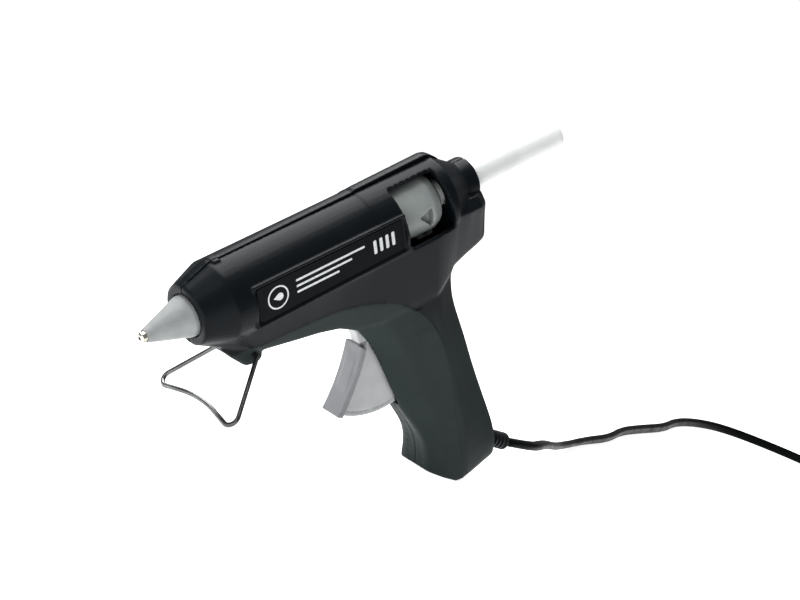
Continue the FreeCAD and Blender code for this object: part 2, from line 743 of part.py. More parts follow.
def tube_along(points, radius):
    path, radii = bent_path(points)
    start = (points[1] - points[0]).normalize()
    section = Part.Wire(Part.Circle(points[0], start, radius).toShape())
    tube = path.makePipeShell([section], True, False)
    expected = math.pi * radius**2 * path.Length
    return tube, radii, tube.Volume / expected, path.Length


def make_wires():
    for name, side, level in (("live_wire", -1, -16.15), ("neutral_wire", 1, -13.65)):
        points = [
            V(149.0, side * 1.8, -117.6),
            V(147.0, side * 5.5, -98.0),
            V(144.6, side * 8.3, -74.0),
            V(139.6, side * 8.8, -50.0),
            V(130.0, side * 8.8, -32.0),
            V(112.0, side * 8.4, -25.0),
            V(93.0, side * 6.2, -20.5),
            V(83.4, side * 3.5, level),
        ]
        keep_shape(name, tube_along(points, 0.9)[0])
    tabs = [
        Part.makeCylinder(1.2, 4.3, V(79.1, side * 3.5, level), V(1, 0, 0))
        for side, level in ((-1, -16.15), (1, -13.65))
    ]
    keep_shape("wire_terminals", Part.makeCompound(tabs))


def make_cord_entry():
    at, along = gland_axis()
    square = V(-along.z, 0, along.x)
    half_cord = mm("cord_diameter") / 2
    profile = [(-4.6, half_cord + 0.05), (-4.6, 5.6), (-2.4, 5.6), (-2.4, 3.5)]
    place = 2.2
    while place < 12.0:
        profile += [(place, 3.5), (place + 0.3, 4.0), (place + 1.3, 3.9), (place + 1.6, 3.0)]
        profile += [(place + 2.3, 3.0)]
        place += 2.4
    profile += [(13.6, 3.3), (13.6, half_cord + 0.05)]
    points = [at + along * a + square * b for a, b in profile]
    boot = Part.Face(Part.makePolygon(points + points[:1])).revolve(at, along, 360)
    keep_shape("cord_gland", boot)
    tail = Part.makeCylinder(half_cord, 33.0, at - along * 19.4, along)
    flat = box(140, 180, -1.8, 1.8, -150, -110)
    keep_shape("cord_tail", tail.common(flat).fuse(tail.common(gland_room(at, along))))
    centre = at - along * 12.6
    plate = Part.makeBox(6.0, 2.0, 14.0, V(-3.0, 1.9, -7.0))
    turn = FreeCAD.Rotation(V(0, 0, 1), square)
    plate.Placement = FreeCAD.Placement(centre, turn)
    screws = []
    for end in (-1, 1):
        spot = centre + square * (end * 4.7)
        plate = plate.cut(across(spot.x, spot.z, mm("screw_radius"), 1, 6))
        shank = across(spot.x, spot.z, mm("screw_radius") - 0.02, -4.0, 3.9)
        screws.append(shank.fuse(across(spot.x, spot.z, 2.1, 3.9, 5.0)))
    keep_shape("cord_clamp", plate)
    keep_shape("clamp_screws", Part.makeCompound(screws))


def gland_room(at, along):
    """The stretch of cord that is round, inside the moulded gland."""
    return Part.makeCylinder(4.0, 30.0, at - along * 4.6, along)


def make_stick():
    body = new_body("glue_stick")
    end = circle(body, "stick_end", "YZ_Plane", "stick_radius", (0, 0), mm("stick_front"))
    add_pad(body, end, size("stick_back") - "stick_front")
    keep(body, "glue_stick")


def make_stand():
    x0, z0 = mm("stand_pivot_x"), mm("stand_pivot_z")
    x1, z1 = mm("stand_foot_x"), mm("stand_foot_z")
    span = mm("stand_half_span")
    down = V(x1 - x0, 0, z1 - z0)

    def at(y, share):
        return V(x0 + down.x * share, y, z0 + down.z * share)

    hidden, shoulder, arch = 2.5, 9.8, 0.86
    half = [at(hidden, 0), at(shoulder, 0), at(span, 1.0486)]
    corners = [V(p.x, -p.y, p.z) for p in half] + [at(0, arch)] + half[::-1]
    radii = [1.8, 3.6, 60.0, 3.6, 1.8]
    edges, last = [], corners[0]
    for before, here, after, radius in zip(corners, corners[1:], corners[2:], radii):
        into, out = (here - before).normalize(), (after - here).normalize()
        turn = into.getAngle(out)
        back = radius * math.tan(turn / 2)
        enter, leave = here - into * back, here + out * back
        toward = ((enter + leave) * 0.5 - here).normalize()
        middle = here + toward * (radius / math.cos(turn / 2) - radius)
        edges += [Part.LineSegment(last, enter).toShape(), Part.Arc(enter, middle, leave).toShape()]
        last = leave
    edges.append(Part.LineSegment(last, corners[-1]).toShape())
    section = Part.Wire(Part.Circle(corners[0], V(0, 1, 0), mm("stand_wire_radius")).toShape())
    keep_shape("wire_stand", Part.Wire(edges).makePipeShell([section], True, False))


# ---------------------------------------------------------------- the cord on the floor
LEVEL = FreeCAD.Placement()
HALF = mm("cord_diameter") / 2
CORD_ROUTE = [
    (113.41, 0, 20.34),
    (133.7, 0.3, 21.2),
    (160, 19, 19.4),
    (191, 42, 15.9),
    (224, 67, 11.0),
    (258, 93, 6.4),
    (298, 121, 3.3),
    (342, 148, HALF),
    (391, 174, HALF),
    (437, 206, HALF),
    (487, 233, HALF),
    (538, 259, HALF),
    (586, 291, HALF),
    (632, 313, HALF),
    (677, 324, HALF),
    (715, 307, HALF),
    (738, 275, 3.0),
    (748, 239, 3.5),
]
COIL_CENTRE = V(719.5, 230.3, 0)
COIL_LIFT = 0.8
PLUG_AT = V(752.2, 168.0, 7.0)
PIN_SPACING = 18.6


def make_coil():
    """The length that is wound up, as one ring two cords wide and two high, with its tie."""
    mid, cord = mm("coil_mid_radius"), mm("cord_diameter")
    base = COIL_CENTRE + V(0, 0, COIL_LIFT)
    ring = Part.makeCylinder(mid + cord, 2 * cord, base)
    ring = ring.cut(Part.makeCylinder(mid - cord, 2 * cord, base))
    keep_shape("cord_coil", ring, LEVEL)
    x, y = COIL_CENTRE.x - mid, COIL_CENTRE.y
    room = cord + 0.35
    tie = box(x - room - 0.8, x + room + 0.8, y - 4, y + 4, 0, 2 * cord + 1.6)
    tie = tie.cut(box(x - room, x + room, y - 5, y + 5, COIL_LIFT, 2 * cord + COIL_LIFT))
    keep_shape("coil_tie", tie, LEVEL)


def make_plug():
    """A flat two-pin plug that lies on its broad side, pins towards -y."""
    x, y = PLUG_AT.x, PLUG_AT.y
    half_thick = 6.85
    side = [(17.6, 0.0), (17.6, 9.0), (8.5, 24.0), (5.0, 27.0), (4.4, 38.6)]
    plan = [V(x + a, y + b, 0.15) for a, b in side] + [V(x - a, y + b, 0.15) for a, b in reversed(side)]
    wire = rounded(plan, [2.0, 6.0, 6.0, 6.0, 0.8, 0.8, 6.0, 6.0, 6.0, 2.0])
    body = Part.Face(wire).extrude(V(0, 0, 2 * half_thick))
    long_edges = [e for e in body.Edges if e.BoundBox.ZLength < 0.01]
    body = body.makeFillet(2.4, long_edges)
    keep_shape("plug_body", body, LEVEL)
    pins = []
    for side in (-1, 1):
        root = V(x + side * PIN_SPACING / 2, y, PLUG_AT.z)
        pin = Part.makeCylinder(2.0, 17.2, root, V(0, -1, 0))
        nose = Part.makeCone(2.0, 1.2, 1.8, root - V(0, 17.2, 0), V(0, -1, 0))
        pins.append(pin.fuse(nose))
    keep_shape("plug_pins", Part.makeCompound(pins), LEVEL)


def make_cord():
    tube, radii, share, length = tube_along([V(*p) for p in CORD_ROUTE], HALF)
    print("cord radii", [round(r, 1) for r in radii], "volume share", round(share, 4))
    print("cord run length", round(length, 1))
    keep_shape("cord_run", tube, LEVEL)


make_shells()
make_labels()
make_heater()
make_valve()
make_carriage()
make_trigger()
make_return_spring()
make_wires()
make_cord_entry()
make_stick()
make_stand()
make_cord()
make_coil()
make_plug()

doc.recompute()
for thing in doc.Objects:
    if "Invalid" in thing.State or "Error" in thing.State:
        raise RuntimeError(f"{thing.Name} failed: {thing.State}")
os.makedirs("parts", exist_ok=True)
for piece in pieces:
    if piece.Shape.isNull() or not piece.Shape.isValid():
        raise RuntimeError(f"{piece.Label} is empty or invalid")
for piece in pieces:
    piece.Shape.exportStep(f"parts/{piece.Label}.step")
    print(piece.Label, round(piece.Shape.Volume, 1), len(piece.Shape.Solids))
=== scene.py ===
import math

import bmesh
import bpy
from mathutils import Matrix, Vector


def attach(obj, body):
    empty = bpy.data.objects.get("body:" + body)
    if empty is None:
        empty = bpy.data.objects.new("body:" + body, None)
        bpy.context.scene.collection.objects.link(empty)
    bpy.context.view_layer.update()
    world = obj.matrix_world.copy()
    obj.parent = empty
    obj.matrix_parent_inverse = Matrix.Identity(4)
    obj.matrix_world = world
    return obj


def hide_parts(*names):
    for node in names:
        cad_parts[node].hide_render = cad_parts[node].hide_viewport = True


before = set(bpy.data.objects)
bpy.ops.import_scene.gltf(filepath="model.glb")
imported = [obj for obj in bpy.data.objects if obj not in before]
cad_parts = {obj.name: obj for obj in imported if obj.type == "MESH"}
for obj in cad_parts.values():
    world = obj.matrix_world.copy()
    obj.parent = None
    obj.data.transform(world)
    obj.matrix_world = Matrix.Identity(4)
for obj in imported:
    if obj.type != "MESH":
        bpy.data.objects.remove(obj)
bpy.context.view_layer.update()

# ------------------------------------------------------------------ camera
# The gun is seen from its left and a little from the front, almost level with the bench,
# with the camera rolled so that the barrel lies at a shallow slope in the picture.
AZIMUTH, ELEVATION, ROLL = math.radians(-45.68), math.radians(5.93), math.radians(23.48)
CAMERA_PLACE = (-0.9004, -0.8941, 0.2008)
back = Vector((
    math.sin(AZIMUTH) * math.cos(ELEVATION),
    -math.cos(AZIMUTH) * math.cos(ELEVATION),
    math.sin(ELEVATION),
))
level_right = Vector((math.cos(AZIMUTH), math.sin(AZIMUTH), 0))
right = Matrix.Rotation(ROLL, 3, back) @ level_right
up = back.cross(right)
camera = bpy.data.objects.new("camera", bpy.data.cameras.new("camera"))
camera.data.lens, camera.data.sensor_width = 135, 36
camera.data.clip_start, camera.data.clip_end = 0.05, 20
camera.matrix_world = Matrix.Translation(CAMERA_PLACE) @ Matrix(
    (right, up, back)
).transposed().to_4x4()
bpy.context.collection.objects.link(camera)
bpy.context.scene.camera = camera

# ------------------------------------------------------------------ light and floor
# White paper under large soft lamps, in a white room, so that black plastic shows broad pale
# reflections and the bench runs out of sight without a horizon.
FLOOR_REACH = 8
GUN_MIDDLE = (0, 0, 0.09)
ROOM_LIGHT, ROOM_SEEN = 0.24, 1.05


def hex_colour(text):
    """An sRGB hex colour as the linear RGBA that the shaders take."""
    channels = [int(text[k:k + 2], 16) / 255 for k in (1, 3, 5)]
    linear = [c / 12.92 if c <= 0.04045 else ((c + 0.055) / 1.055) ** 2.4 for c in channels]
    return (*linear, 1.0)


def add_node(tree, kind, links=None, values=None, **settings):
    """Add a node: settings are its properties, values its inputs, links what its inputs read."""
    node = tree.nodes.new(kind)
    for name, value in settings.items():
        setattr(node, name, value)
    for name, value in (values or {}).items():
        node.inputs[name].default_value = value
    for name, source in (links or {}).items():
        tree.links.new(source, node.inputs[name])
    return node


def new_material(name, colour, roughness, **values):
    """A Principled material; returns it with its tree, its shader and its Object coordinates."""
    material = bpy.data.materials.new(name)
    material.use_nodes = True
    tree = material.node_tree
    shader = tree.nodes["Principled BSDF"]
    shader.inputs["Base Color"].default_value = hex_colour(colour)
    shader.inputs["Roughness"].default_value = roughness
    for socket, value in values.items():
        shader.inputs[socket.replace("_", " ")].default_value = value
    place = add_node(tree, "ShaderNodeTexCoord").outputs["Object"]
    return material, tree, shader, place


def per_metre(millimetres):
    """The scale of a noise on metres whose marks are this many millimetres across."""
    return 1000 / millimetres


def add_bump(tree, shader, source, strength, height):
    """A bump from a node's first output, height in millimetres."""
    bump = add_node(
        tree, "ShaderNodeBump", {"Height": source.outputs[0]},
        {"Strength": strength, "Distance": height / 1000},
    )
    tree.links.new(bump.outputs[0], shader.inputs["Normal"])


def add_grain(tree, shader, place, mark, height, stretch=(1, 1, 1)):
    """A bump of noise marks, mark and height in millimetres, drawn out along stretch."""
    spread = add_node(tree, "ShaderNodeMapping", {"Vector": place}, {"Scale": stretch})
    noise = add_node(
        tree, "ShaderNodeTexNoise", {"Vector": spread.outputs[0]},
        {"Scale": per_metre(mark), "Detail": 3.0},
    )
    add_bump(tree, shader, noise, 1.0, height)


def vary(tree, shader, place, mark, colours, roughness):
    """Slow noise that shifts the colour between two hex colours, and the roughness with it."""
    noise = add_node(
        tree, "ShaderNodeTexNoise", {"Vector": place}, {"Scale": per_metre(mark), "Detail": 4.0}
    )
    tint = add_node(tree, "ShaderNodeValToRGB", {"Fac": noise.outputs[0]})
    for stop, at, colour in zip(tint.color_ramp.elements, (0.35, 0.65), colours):
        stop.position, stop.color = at, hex_colour(colour)
    gloss = add_node(
        tree, "ShaderNodeMapRange", {"Value": noise.outputs[0]},
        {"From Min": 0.3, "From Max": 0.7, "To Min": roughness[0], "To Max": roughness[1]},
    )
    tree.links.new(tint.outputs[0], shader.inputs["Base Color"])
    tree.links.new(gloss.outputs[0], shader.inputs["Roughness"])


def soft_lamp(name, place, width, height, power):
    """A rectangular lamp aimed at the gun, sizes in metres and power in watts."""
    lamp = bpy.data.lights.new(name, "AREA")
    lamp.shape, lamp.size, lamp.size_y, lamp.energy = "RECTANGLE", width, height, power
    holder = bpy.data.objects.new(name, lamp)
    holder.location = place
    holder.rotation_euler = (Vector(GUN_MIDDLE) - Vector(place)).to_track_quat("-Z", "Y").to_euler()
    bpy.context.collection.objects.link(holder)


floor_mesh = bpy.data.meshes.new("floor")
corners = [(FLOOR_REACH * x, FLOOR_REACH * y, 0) for x, y in ((-1, -1), (1, -1), (1, 1), (-1, 1))]
floor_mesh.from_pydata(corners, [], [(0, 1, 2, 3)])
floor = bpy.data.objects.new("floor", floor_mesh)
bpy.context.collection.objects.link(floor)
# matt white paper on a light table: a hint of fibre, no gloss, and lit from below
paper, tree, shader, place = new_material(
    "matt_white_paper", "#dcdcdc", 0.95, Specular_IOR_Level=0.1, Emission_Strength=0.9
)
shader.inputs["Emission Color"].default_value = (1, 1, 1, 1)
add_grain(tree, shader, place, 1.2, 0.01)
floor_mesh.materials.append(paper)
world = bpy.data.worlds.new("studio")
bpy.context.scene.world = world
world.use_nodes = True
room = world.node_tree.nodes["Background"]
room.inputs["Color"].default_value = (1, 1, 1, 1)
# the room looks white, but lights the gun softly, so that its black plastic stays deep
view_ray = add_node(world.node_tree, "ShaderNodeLightPath").outputs["Is Camera Ray"]
strength = add_node(
    world.node_tree, "ShaderNodeMapRange", {"Value": view_ray},
    {"To Min": ROOM_LIGHT, "To Max": ROOM_SEEN},
)
world.node_tree.links.new(strength.outputs[0], room.inputs["Strength"])
bpy.context.scene.view_settings.view_transform = "Standard"
soft_lamp("overhead", (-0.15, 0.40, 0.95), 1.1, 0.9, 24)
soft_lamp("left_bank", (-1.2, -0.3, 0.7), 0.5, 0.5, 3)

# ------------------------------------------------------------------ cord
# Flat two-core mains lead in soft black PVC. It leaves the grip through a ribbed boot, drops to
# the bench, turns on edge as it runs off to the right, and ends in a tied coil and a plug.
CORD_WIDTH, CORD_THICK = 0.0054, 0.0041
# the groove between the two cores: its depth as a share of half the thickness, and its reach
GROOVE_DEPTH, GROOVE_REACH = 0.14, 0.0007
# below 1 the section is squarer than an ellipse
SECTION_POWER = 0.75
CORD_SIDES = 20
CORD_ROUTE = [
    (0.11341, 0, 0.02034),
    (0.1337, 0.0003, 0.0212),
    (0.160, 0.019, 0.0194),
    (0.191, 0.042, 0.0159),
    (0.224, 0.067, 0.0110),
    (0.258, 0.093, 0.0064),
    (0.298, 0.121, 0.0033),
    (0.342, 0.148, 0.0027),
    (0.391, 0.174, 0.0027),
    (0.437, 0.206, 0.0027),
    (0.487, 0.233, 0.0027),
    (0.538, 0.259, 0.0027),
    (0.586, 0.291, 0.0027),
    (0.632, 0.313, 0.0027),
    (0.677, 0.324, 0.0027),
    (0.715, 0.307, 0.0027),
    (0.738, 0.275, 0.0030),
    (0.748, 0.239, 0.0035),
]
# metres along the cord between which it turns from flat to on edge
FLAT_UNTIL, ON_EDGE_FROM = 0.03, 0.50
COIL_CENTRE = Vector((0.7195, 0.2303, 0.0))
COIL_RADII = (0.0319, 0.0281)
COIL_LEVELS = (0.0036, 0.0090)
TURNS, TURN_STEPS = 4.04, 14
LEAD_OUT = [(0.7520, 0.2180, 0.0088), (0.7522, 0.2066, 0.0074)]


def ease(value, low, high):
    """0 below low, 1 above high, and a smooth rise between."""
    share = min(max((value - low) / (high - low), 0), 1)
    return share * share * (3 - 2 * share)


def coil_points():
    """The wound turns, clockwise from above: two at the bottom, then two on top of them."""
    start = math.atan2(CORD_ROUTE[-1][1] - COIL_CENTRE.y, CORD_ROUTE[-1][0] - COIL_CENTRE.x)
    outer, inner = COIL_RADII
    bottom, top = COIL_LEVELS
    points = []
    for step in range(1, round(TURNS * TURN_STEPS)):
        turn = step / TURN_STEPS
        angle = start - 2 * math.pi * turn
        inwards = ease(turn, 0.75, 1.25) - ease(turn, 2.75, 3.25)
        radius = outer + (inner - outer) * inwards
        level = bottom + (top - bottom) * ease(turn, 1.75, 2.25)
        spoke = Vector((radius * math.cos(angle), radius * math.sin(angle), level))
        points.append(tuple(COIL_CENTRE + spoke))
    return points


def add_piece(name, mesh, *materials):
    """An object at the origin that shows mesh with its materials."""
    piece = bpy.data.objects.new(name, mesh)
    bpy.context.collection.objects.link(piece)
    for material in materials:
        mesh.materials.append(material)
    return piece


def join_rings(shape, rings):
    """Walls of four-sided faces between each ring of vertices and the next."""
    for ring, following in zip(rings, rings[1:]):
        for k in range(len(ring)):
            other = (k + 1) % len(ring)
            shape.faces.new((ring[k], ring[other], following[other], following[k]))


def mesh_of(piece):
    """The mesh of a piece with its modifiers applied."""
    graph = bpy.context.evaluated_depsgraph_get()
    return bpy.data.meshes.new_from_object(piece.evaluated_get(graph))


def smooth_faces(mesh):
    """Shade every face of the mesh smooth."""
    mesh.polygons.foreach_set("use_smooth", [True] * len(mesh.polygons))


line = bpy.data.curves.new("cord_line", "CURVE")
line.dimensions = "3D"
line.resolution_u = 8
spline = line.splines.new("NURBS")
cord_points = CORD_ROUTE + coil_points() + LEAD_OUT
spline.points.add(len(cord_points) - 1)
for point, where in zip(spline.points, cord_points):
    point.co = (*where, 1)
spline.order_u = 3
spline.use_endpoint_u = True
guide = bpy.data.objects.new("cord_guide", line)
bpy.context.collection.objects.link(guide)
cord_path = [vertex.co.copy() for vertex in mesh_of(guide).vertices]
bpy.data.objects.remove(guide)


def flat_cord(name, path):
    """A closed tube of two joined cores that turns from flat to on edge along its path."""
    shape = bmesh.new()
    rings, travelled = [], 0.0
    for k, here in enumerate(path):
        ahead = path[min(k + 1, len(path) - 1)] - path[max(k - 1, 0)]
        travelled += (here - path[max(k - 1, 0)]).length
        along = ahead.normalized()
        level = along.cross(Vector((0, 0, 1))).normalized()
        upright = level.cross(along)
        lean = math.pi / 2 * ease(travelled, FLAT_UNTIL, ON_EDGE_FROM)
        wide = level * math.cos(lean) + upright * math.sin(lean)
        thin = along.cross(wide)
        ring = []
        for step in range(CORD_SIDES):
            angle = 2 * math.pi * step / CORD_SIDES
            across = CORD_WIDTH / 2 * math.cos(angle)
            waist = 1 - GROOVE_DEPTH * math.exp(-((across / GROOVE_REACH) ** 2))
            rise = math.copysign(abs(math.sin(angle)) ** SECTION_POWER, math.sin(angle))
            ring.append(shape.verts.new(here + wide * across + thin * CORD_THICK / 2 * rise * waist))
        rings.append(ring)
    join_rings(shape, rings)
    shape.faces.new(rings[0][::-1])
    shape.faces.new(rings[-1])
    bmesh.ops.recalc_face_normals(shape, faces=shape.faces)
    mesh = bpy.data.meshes.new(name)
    shape.to_mesh(mesh)
    shape.free()
    smooth_faces(mesh)
    return mesh


# soft PVC: black, satin, with the faint orange-peel of an extruded sheath
sheath, tree, shader, place = new_material(
    "extruded_black_pvc", "#070809", 0.4, Specular_IOR_Level=0.03
)
vary(tree, shader, place, 9.0, ("#050607", "#090a0b"), (0.36, 0.48))
add_grain(tree, shader, place, 0.8, 0.012)
cord = add_piece("mains_cord", flat_cord("mains_cord", cord_path), sheath)
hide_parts("cord_run", "cord_coil")
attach(cord, "housing")


def dress(material, *names):
    """Give CAD nodes a material in every slot they have."""
    for name in names:
        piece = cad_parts[name]
        if not piece.material_slots:
            piece.data.materials.append(material)
        for slot in piece.material_slots:
            slot.material = material


# ------------------------------------------------------------------ cord fittings
# The moulded boot and the cord's end inside the grip are the same soft PVC as the lead. The tie
# is a black nylon strip, and the plug is moulded PVC with nickel-plated pins.
boot_pvc, tree, shader, place = new_material(
    "moulded_black_pvc", "#0c0f11", 0.48, Specular_IOR_Level=0.15
)
vary(tree, shader, place, 4.0, ("#0a0d0f", "#121517"), (0.42, 0.56))
add_grain(tree, shader, place, 0.4, 0.02)
dress(boot_pvc, "cord_gland", "cord_tail", "plug_body")
tie_nylon, tree, shader, place = new_material("black_nylon_strip", "#0c0c0c", 0.3)
vary(tree, shader, place, 2.0, ("#0a0a0a", "#161616"), (0.26, 0.4))
add_grain(tree, shader, place, 0.5, 0.02, (1, 0.1, 1))
dress(tie_nylon, "coil_tie")
nickel, tree, shader, place = new_material("nickel_plate", "#d8d5cf", 0.16, Metallic=1.0)
vary(tree, shader, place, 3.0, ("#d8d5cf", "#c6c2b9"), (0.12, 0.26))
add_grain(tree, shader, place, 0.3, 0.004, (1, 0.08, 1))
dress(nickel, "plug_pins")

# ------------------------------------------------------------------ housing shells
# Two halves moulded in black glass-filled nylon. The tool that moulds them is smooth round the
# barrel and spark-textured over the grip, where a raised panel ends in an arc; every edge is soft.
LEAN = math.radians(38)
GUN_TO_BENCH = Matrix.Translation((-0.1128, 0, 0.021362)) @ Matrix.Rotation(-LEAN, 4, "Y")
BENCH_TO_GUN = GUN_TO_BENCH.inverted()
PANEL_CENTRE, PANEL_REACH, PANEL_POWER = (0.076, -0.084), (0.0675, 0.0614), 2.25
PANEL_PROUD = 0.00028
# panel depths between which it rises, and how near the joint between the halves it stays flush
PANEL_RISE, FLUSH_BESIDE_JOINT = (-0.004, 0.02), 0.004
# metres below the barrel's axis and beside the joint between which the blending sets in
BLEND_BELOW, BLEND_BESIDE = (0.0098, 0.0135), (0.003, 0.006)
# gun heights where the grip's smooth spine starts and ends to take painted light, lightened towards
# the panel's tint, and how much of it
GRIP_PAINTED_LIGHT = (-0.040, -0.068, 0.75)
VOXEL, EDGE_STEPS, BLEND_STEPS, KEEP_SHARE = 0.00055, 3, 26, 0.6


def gun_point(x, y, z):
    """Millimetres along, across and square to the barrel, as a point on the bench in metres."""
    return GUN_TO_BENCH @ Vector((x / 1000, y / 1000, z / 1000))


def panel_depth(point):
    """How far inside the textured panel's arc a point lies: 0 on the arc, above 0 inside."""
    x, z = max(point.x - PANEL_CENTRE[0], 0), max(point.z - PANEL_CENTRE[1], 0)
    return 1 - (x / PANEL_REACH[0]) ** PANEL_POWER - (z / PANEL_REACH[1]) ** PANEL_POWER


def softened(name, node, voxel, edge_steps, soft_steps=0, soft_where=None, keep_share=1.0):
    """A CAD node's shape remade as one fine skin with moulded, rounded edges.

    soft_where says how strongly soft_steps more steps blend a point, and keep_share how many of
    the triangles stay.
    """
    shape = bmesh.new()
    shape.from_mesh(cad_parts[node].data)
    bmesh.ops.remove_doubles(shape, verts=shape.verts, dist=1e-6)
    mesh = bpy.data.meshes.new(name)
    shape.to_mesh(mesh)
    shape.free()
    mesh.materials.clear()
    rough = add_piece(name + "_rough", mesh)
    skin = rough.modifiers.new("skin", "REMESH")
    skin.mode, skin.voxel_size, skin.use_smooth_shade = "VOXEL", voxel, True
    dense = mesh_of(rough)
    bpy.data.objects.remove(rough)
    piece = add_piece(name, dense)
    edges = piece.modifiers.new("edges", "SMOOTH")
    edges.factor, edges.iterations = 0.5, edge_steps
    if soft_steps:
        group = piece.vertex_groups.new(name="soft")
        for vertex in dense.vertices:
            weight = soft_where(BENCH_TO_GUN @ vertex.co)
            if weight > 0:
                group.add([vertex.index], weight, "REPLACE")
        blend = piece.modifiers.new("blend", "SMOOTH")
        blend.factor, blend.iterations, blend.vertex_group = 0.5, soft_steps, "soft"
    if keep_share < 1:
        piece.modifiers.new("thin", "DECIMATE").ratio = keep_share
    finished = mesh_of(piece)
    bpy.data.objects.remove(piece)
    smooth_faces(finished)
    return add_piece(name, finished)


def below_label(point):
    """Where the barrel flows into the keel and grip, away from the joint and the window."""
    return ease(-point.z, *BLEND_BELOW) * ease(abs(point.y), *BLEND_BESIDE)


def raise_panel(mesh):
    """Stand the textured panel proud of the smooth moulding, outside only."""
    outward = [vertex.normal.copy() for vertex in mesh.vertices]
    for vertex, normal in zip(mesh.vertices, outward):
        point = BENCH_TO_GUN @ vertex.co
        if abs(point.y) > FLUSH_BESIDE_JOINT and normal.y * point.y > 0:
            vertex.co += normal * PANEL_PROUD * ease(panel_depth(point), *PANEL_RISE)


# satin black nylon: smooth and darker on the barrel, greener and spark-textured on the panel, whose
# lighter tint is partly painted light
nylon, tree, shader, place = new_material(
    "moulded_black_nylon", "#1a1e20", 0.4, Specular_IOR_Level=0.085
)
along_gun = add_node(
    tree, "ShaderNodeMapping", {"Vector": place},
    {"Location": BENCH_TO_GUN.to_translation(), "Rotation": (0, LEAN, 0)},
)
axes = add_node(tree, "ShaderNodeSeparateXYZ", {"Vector": along_gun.outputs[0]})
terms = []
for axis, centre, reach in zip(("X", "Z"), PANEL_CENTRE, PANEL_REACH):
    term = axes.outputs[axis]
    for operation, value in (
        ("SUBTRACT", centre), ("MAXIMUM", 0.0), ("DIVIDE", reach), ("POWER", PANEL_POWER)
    ):
        term = add_node(
            tree, "ShaderNodeMath", {0: term}, {1: value}, operation=operation
        ).outputs[0]
    terms.append(term)
total = add_node(tree, "ShaderNodeMath", {0: terms[0], 1: terms[1]}, operation="ADD")
on_panel = add_node(
    tree, "ShaderNodeMapRange", {"Value": total.outputs[0]},
    {"From Min": 1.01, "From Max": 0.98, "To Min": 0.0, "To Max": 1.0},
).outputs[0]
cloud = add_node(
    tree, "ShaderNodeTexNoise", {"Vector": place}, {"Scale": per_metre(14), "Detail": 5.0}
)
barrel_tint = add_node(
    tree, "ShaderNodeMix", {"Factor": cloud.outputs[0]},
    {6: hex_colour("#080c0f"), 7: hex_colour("#0e1317")}, data_type="RGBA",
)
# painted light in part: the panel's lighter, greener tint is partly its spark-textured finish and
# partly painted light
panel_tint_and_painted_light = add_node(
    tree, "ShaderNodeMix", {"Factor": cloud.outputs[0]},
    {6: hex_colour("#232a2a"), 7: hex_colour("#2b3333")}, data_type="RGBA",
)
# painted light: the grip's smooth spine below the panel's top is lightened nearly to the panel's tint
grip_painted_light = add_node(
    tree, "ShaderNodeMapRange", {"Value": axes.outputs["Z"]},
    {"From Min": GRIP_PAINTED_LIGHT[0], "From Max": GRIP_PAINTED_LIGHT[1], "To Min": 0.0, "To Max": GRIP_PAINTED_LIGHT[2]},
)
# where the panel's tint and the grip's painted light take over from the barrel's black
panel_and_painted_light = add_node(
    tree, "ShaderNodeMath", {0: on_panel, 1: grip_painted_light.outputs[0]}, operation="MAXIMUM"
)
mixed = add_node(
    tree, "ShaderNodeMix",
    {0: panel_and_painted_light.outputs[0], 6: barrel_tint.outputs[2], 7: panel_tint_and_painted_light.outputs[2]}, data_type="RGBA",
)
tree.links.new(mixed.outputs[2], shader.inputs["Base Color"])
gloss = add_node(
    tree, "ShaderNodeMapRange", {"Value": on_panel},
    {"From Min": 0.0, "From Max": 1.0, "To Min": 0.36, "To Max": 0.52},
)
tree.links.new(gloss.outputs[0], shader.inputs["Roughness"])
# the spark grain is about 0.25 mm on the real tool; drawn at 0.7 mm so that it shows
spark = add_node(
    tree, "ShaderNodeTexNoise", {"Vector": place}, {"Scale": per_metre(0.7), "Detail": 3.0}
)
grain_depth = add_node(
    tree, "ShaderNodeMapRange", {"Value": on_panel},
    {"From Min": 0.0, "From Max": 1.0, "To Min": 0.35, "To Max": 1.0},
)
grain = add_node(
    tree, "ShaderNodeMath", {0: spark.outputs[0], 1: grain_depth.outputs[0]}, operation="MULTIPLY"
)
add_bump(tree, shader, grain, 0.7, 0.06)
for side in ("left", "right"):
    half = softened(
        side + "_housing", side + "_shell", VOXEL, EDGE_STEPS, BLEND_STEPS, below_label, KEEP_SHARE
    )
    raise_panel(half.data)
    half.data.materials.append(nylon)
    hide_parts(side + "_shell")
    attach(half, "housing")

# ------------------------------------------------------------------ housing screws
# Six cross-head thread-forming screws in blackened steel, sunk in the right half; two bright
# ones clamp the cord inside.
black_steel, tree, shader, place = new_material("blackened_steel", "#3a3b3d", 0.34, Metallic=1.0)
vary(tree, shader, place, 1.2, ("#333437", "#4a4b4d"), (0.28, 0.46))
add_grain(tree, shader, place, 0.25, 0.01)
dress(black_steel, "shell_screws")

# ------------------------------------------------------------------ labels
# A thin foil label sits in a rimmed flat on each side: gloss black print on aluminium, with its
# silver marks left bare. The marks are a plain drop in a ring and a few rules.
LABEL_ENDS, LABEL_LEVELS = (47.4, 123.6), ((-8.4, 7.5), (-7.0, 7.1))
LABEL_BACK, LABEL_FACE, LABEL_CORNER, LABEL_BEVEL = 16.1, 16.62, 1.6, 0.2
